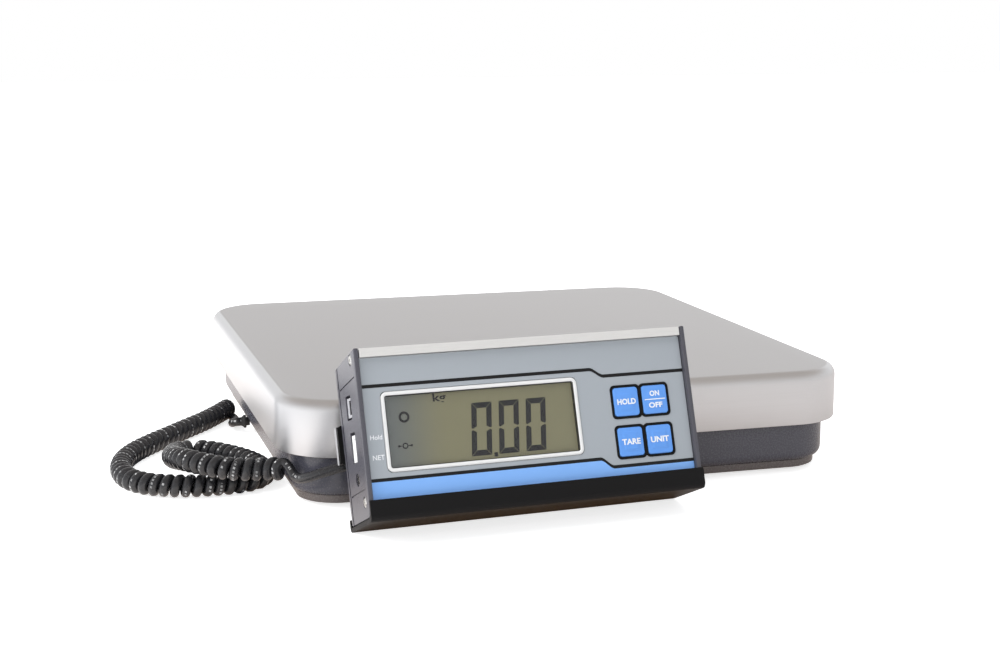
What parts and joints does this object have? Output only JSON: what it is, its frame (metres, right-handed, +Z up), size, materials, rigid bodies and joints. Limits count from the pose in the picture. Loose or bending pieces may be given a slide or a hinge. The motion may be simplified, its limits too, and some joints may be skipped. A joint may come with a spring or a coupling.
{
  "type": "bench scale",
  "caption": "Electronic bench scale: square steel platform on a moulded base, tilted display unit in a sheet metal bracket, joined by a coiled cord.",
  "frame": {"origin": "centre of the object's footprint without its cord, on the table", "axes": "+Z up; -Y towards the operator, the side the display faces; +X to the operator's right"},
  "size_m": [0.4012, 0.3874, 0.0944],
  "materials": {
    "pan_steel": "brushed stainless sheet",
    "rubber": "matt black rubber",
    "cast": "as cast",
    "cell": "milled",
    "zinc": "bright zinc plated steel",
    "base": "semi-gloss dark grey",
    "anodised": "satin anodised extrusion",
    "overlay_film": "fine matt printed film",
    "frame_white": "moulded white",
    "window": "clear window",
    "screen": "reflective display",
    "satin_black": "satin black moulding",
    "key_blue": "satin blue",
    "board": "lacquered board",
    "cap_grey": "fine textured grey moulding",
    "pack": "shrink sleeve",
    "bracket_black": "satin black paint",
    "cord": "glossy black sheath"
  },
  "bodies": {
    "frame": {"base_floor": "base", "base_wall": "base", "base_ribs": "base", "base_gland": "rubber", "load_frame": "cast", "load_cell": "cell", "cell_spacer_lower": "zinc", "cell_spacer_upper": "zinc", "cell_bolt_1": "zinc", "cell_bolt_2": "zinc", "cell_bolt_3": "zinc", "cell_bolt_4": "zinc", "pan_pad_1": "rubber", "pan_pad_2": "rubber", "pan_pad_3": "rubber", "pan_pad_4": "rubber", "indicator_housing": "anodised", "overlay": "overlay_film", "lcd_frame": "frame_white", "lcd_window": "window", "lcd_module": "screen", "keypad_frame": "satin_black", "circuit_board": "board", "left_cap": "cap_grey", "right_cap": "cap_grey", "cap_screw_1": "zinc", "cap_screw_2": "zinc", "cap_screw_3": "zinc", "cap_screw_4": "zinc", "usb_socket": "zinc", "data_socket": "frame_white", "power_jack": "satin_black", "rear_cover": "satin_black", "battery_pack": "pack", "bracket": "bracket_black", "indicator_gland": "rubber", "lead_base": "cord", "coil": "cord", "lead_indicator": "cord"},
    "pan": {"pan": "pan_steel"},
    "key_1": {"key_1": "key_blue"},
    "key_2": {"key_2": "key_blue"},
    "key_3": {"key_3": "key_blue"},
    "key_4": {"key_4": "key_blue"},
    "battery_door": {"battery_door": "satin_black"},
    "foot_1": {"foot_pad_1": "rubber"},
    "foot_2": {"foot_pad_2": "rubber"},
    "foot_3": {"foot_pad_3": "rubber"},
    "foot_4": {"foot_pad_4": "rubber"},
    "stud_1": {"foot_stud_1": "zinc"},
    "stud_2": {"foot_stud_2": "zinc"},
    "stud_3": {"foot_stud_3": "zinc"},
    "stud_4": {"foot_stud_4": "zinc"}
  },
  "joints": [
    {"name": "pan_lift", "type": "slide", "parent": "frame", "child": "pan", "axis": [-0.0238, 0.3412, 0.9397], "range_m": [0, 0.06]},
    {"name": "key_1_press", "type": "slide", "parent": "frame", "child": "key_1", "axis": [-0.0658, 0.9436, -0.3245], "range_m": [0, 0.0004], "stiffness_N_per_m": 1500, "springref_m": -0.0005},
    {"name": "key_2_press", "type": "slide", "parent": "frame", "child": "key_2", "axis": [-0.0658, 0.9436, -0.3245], "range_m": [0, 0.0004], "stiffness_N_per_m": 1500, "springref_m": -0.0005},
    {"name": "key_3_press", "type": "slide", "parent": "frame", "child": "key_3", "axis": [-0.0658, 0.9436, -0.3245], "range_m": [0, 0.0004], "stiffness_N_per_m": 1500, "springref_m": -0.0005},
    {"name": "key_4_press", "type": "slide", "parent": "frame", "child": "key_4", "axis": [-0.0658, 0.9436, -0.3245], "range_m": [0, 0.0004], "stiffness_N_per_m": 1500, "springref_m": -0.0005},
    {"name": "battery_door_slide", "type": "slide", "parent": "frame", "child": "battery_door", "axis": [-0.025, 0.3582, 0.9333], "range_m": [0, 0.02]},
    {"name": "foot_1_height", "type": "slide", "parent": "frame", "child": "foot_1", "axis": [0, 0, 1], "range_m": [-0.008, 0]},
    {"name": "foot_2_height", "type": "slide", "parent": "frame", "child": "foot_2", "axis": [0, 0, 1], "range_m": [-0.008, 0]},
    {"name": "foot_3_height", "type": "slide", "parent": "frame", "child": "foot_3", "axis": [0, 0, 1], "range_m": [-0.008, 0]},
    {"name": "foot_4_height", "type": "slide", "parent": "frame", "child": "foot_4", "axis": [0, 0, 1], "range_m": [-0.008, 0]},
    {"name": "foot_1_turn", "type": "hinge", "parent": "foot_1", "child": "stud_1", "pos_m": [-0.12, -0.08626, 0.01], "axis": [0, 0, 1], "range_deg": [-2310, 5]},
    {"name": "foot_2_turn", "type": "hinge", "parent": "foot_2", "child": "stud_2", "pos_m": [0.12, -0.08626, 0.01], "axis": [0, 0, 1], "range_deg": [-2310, 5]},
    {"name": "foot_3_turn", "type": "hinge", "parent": "foot_3", "child": "stud_3", "pos_m": [0.12, 0.15374, 0.01], "axis": [0, 0, 1], "range_deg": [-2310, 5]},
    {"name": "foot_4_turn", "type": "hinge", "parent": "foot_4", "child": "stud_4", "pos_m": [-0.12, 0.15374, 0.01], "axis": [0, 0, 1], "range_deg": [-2310, 5]}
  ],
  "couplings": [
    {"joint": "foot_1_turn", "follows": "foot_1_height", "rad_per_m": 5026.5},
    {"joint": "foot_2_turn", "follows": "foot_2_height", "rad_per_m": 5026.5},
    {"joint": "foot_3_turn", "follows": "foot_3_height", "rad_per_m": 5026.5},
    {"joint": "foot_4_turn", "follows": "foot_4_height", "rad_per_m": 5026.5}
  ]
}
